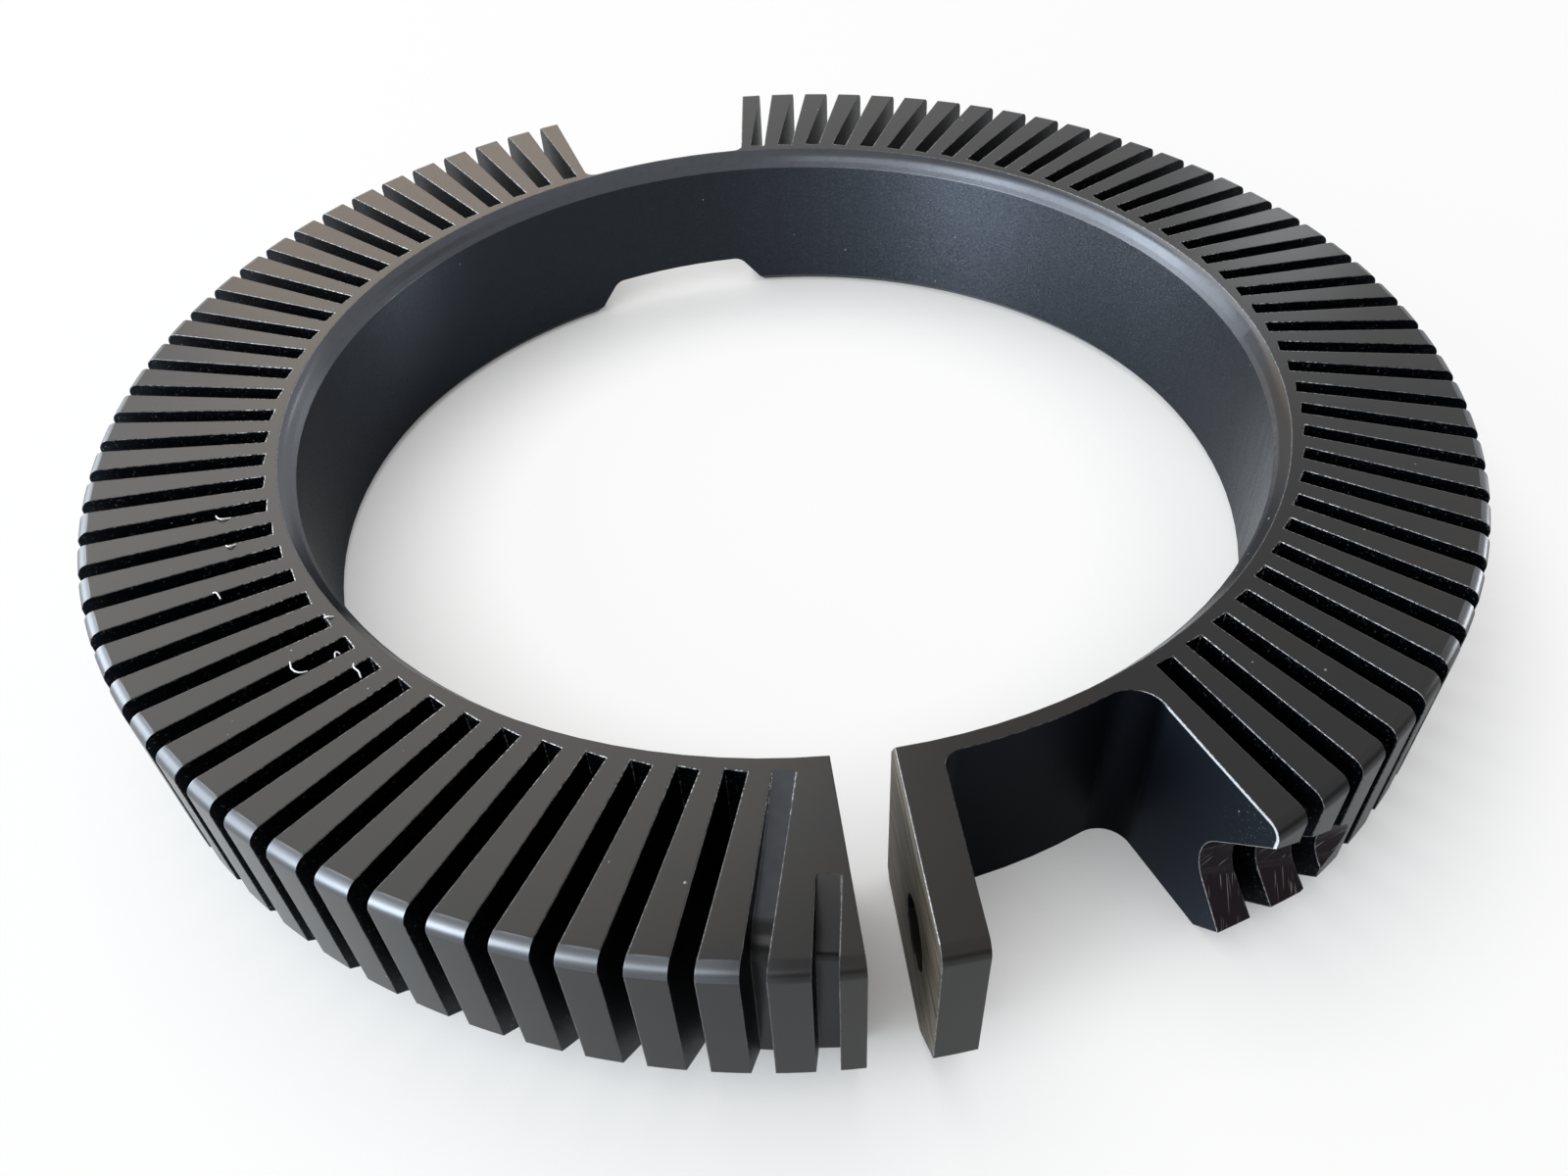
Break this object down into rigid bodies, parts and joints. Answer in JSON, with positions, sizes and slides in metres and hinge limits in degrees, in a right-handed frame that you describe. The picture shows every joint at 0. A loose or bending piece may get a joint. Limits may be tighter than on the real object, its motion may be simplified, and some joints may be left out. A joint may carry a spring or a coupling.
{
  "type": "motor heat sink",
  "caption": "Split clamp-on ring with leaning cooling fins around a round motor bore, screw lugs beside a tool pocket, and a cable notch opposite the split.",
  "frame": {"origin": "on the bore axis, in the plane of the bottom face", "axes": "+Z along the bore axis towards the face with the lead-in chamfer; the split opens towards -Y and the screw's tool comes in from +X"},
  "size_m": [0.1904, 0.1903, 0.0262],
  "materials": {
    "anodised": "satin black anodised"
  },
  "bodies": {
    "root": {"finned_clamp_ring": "anodised"}
  },
  "joints": []
}
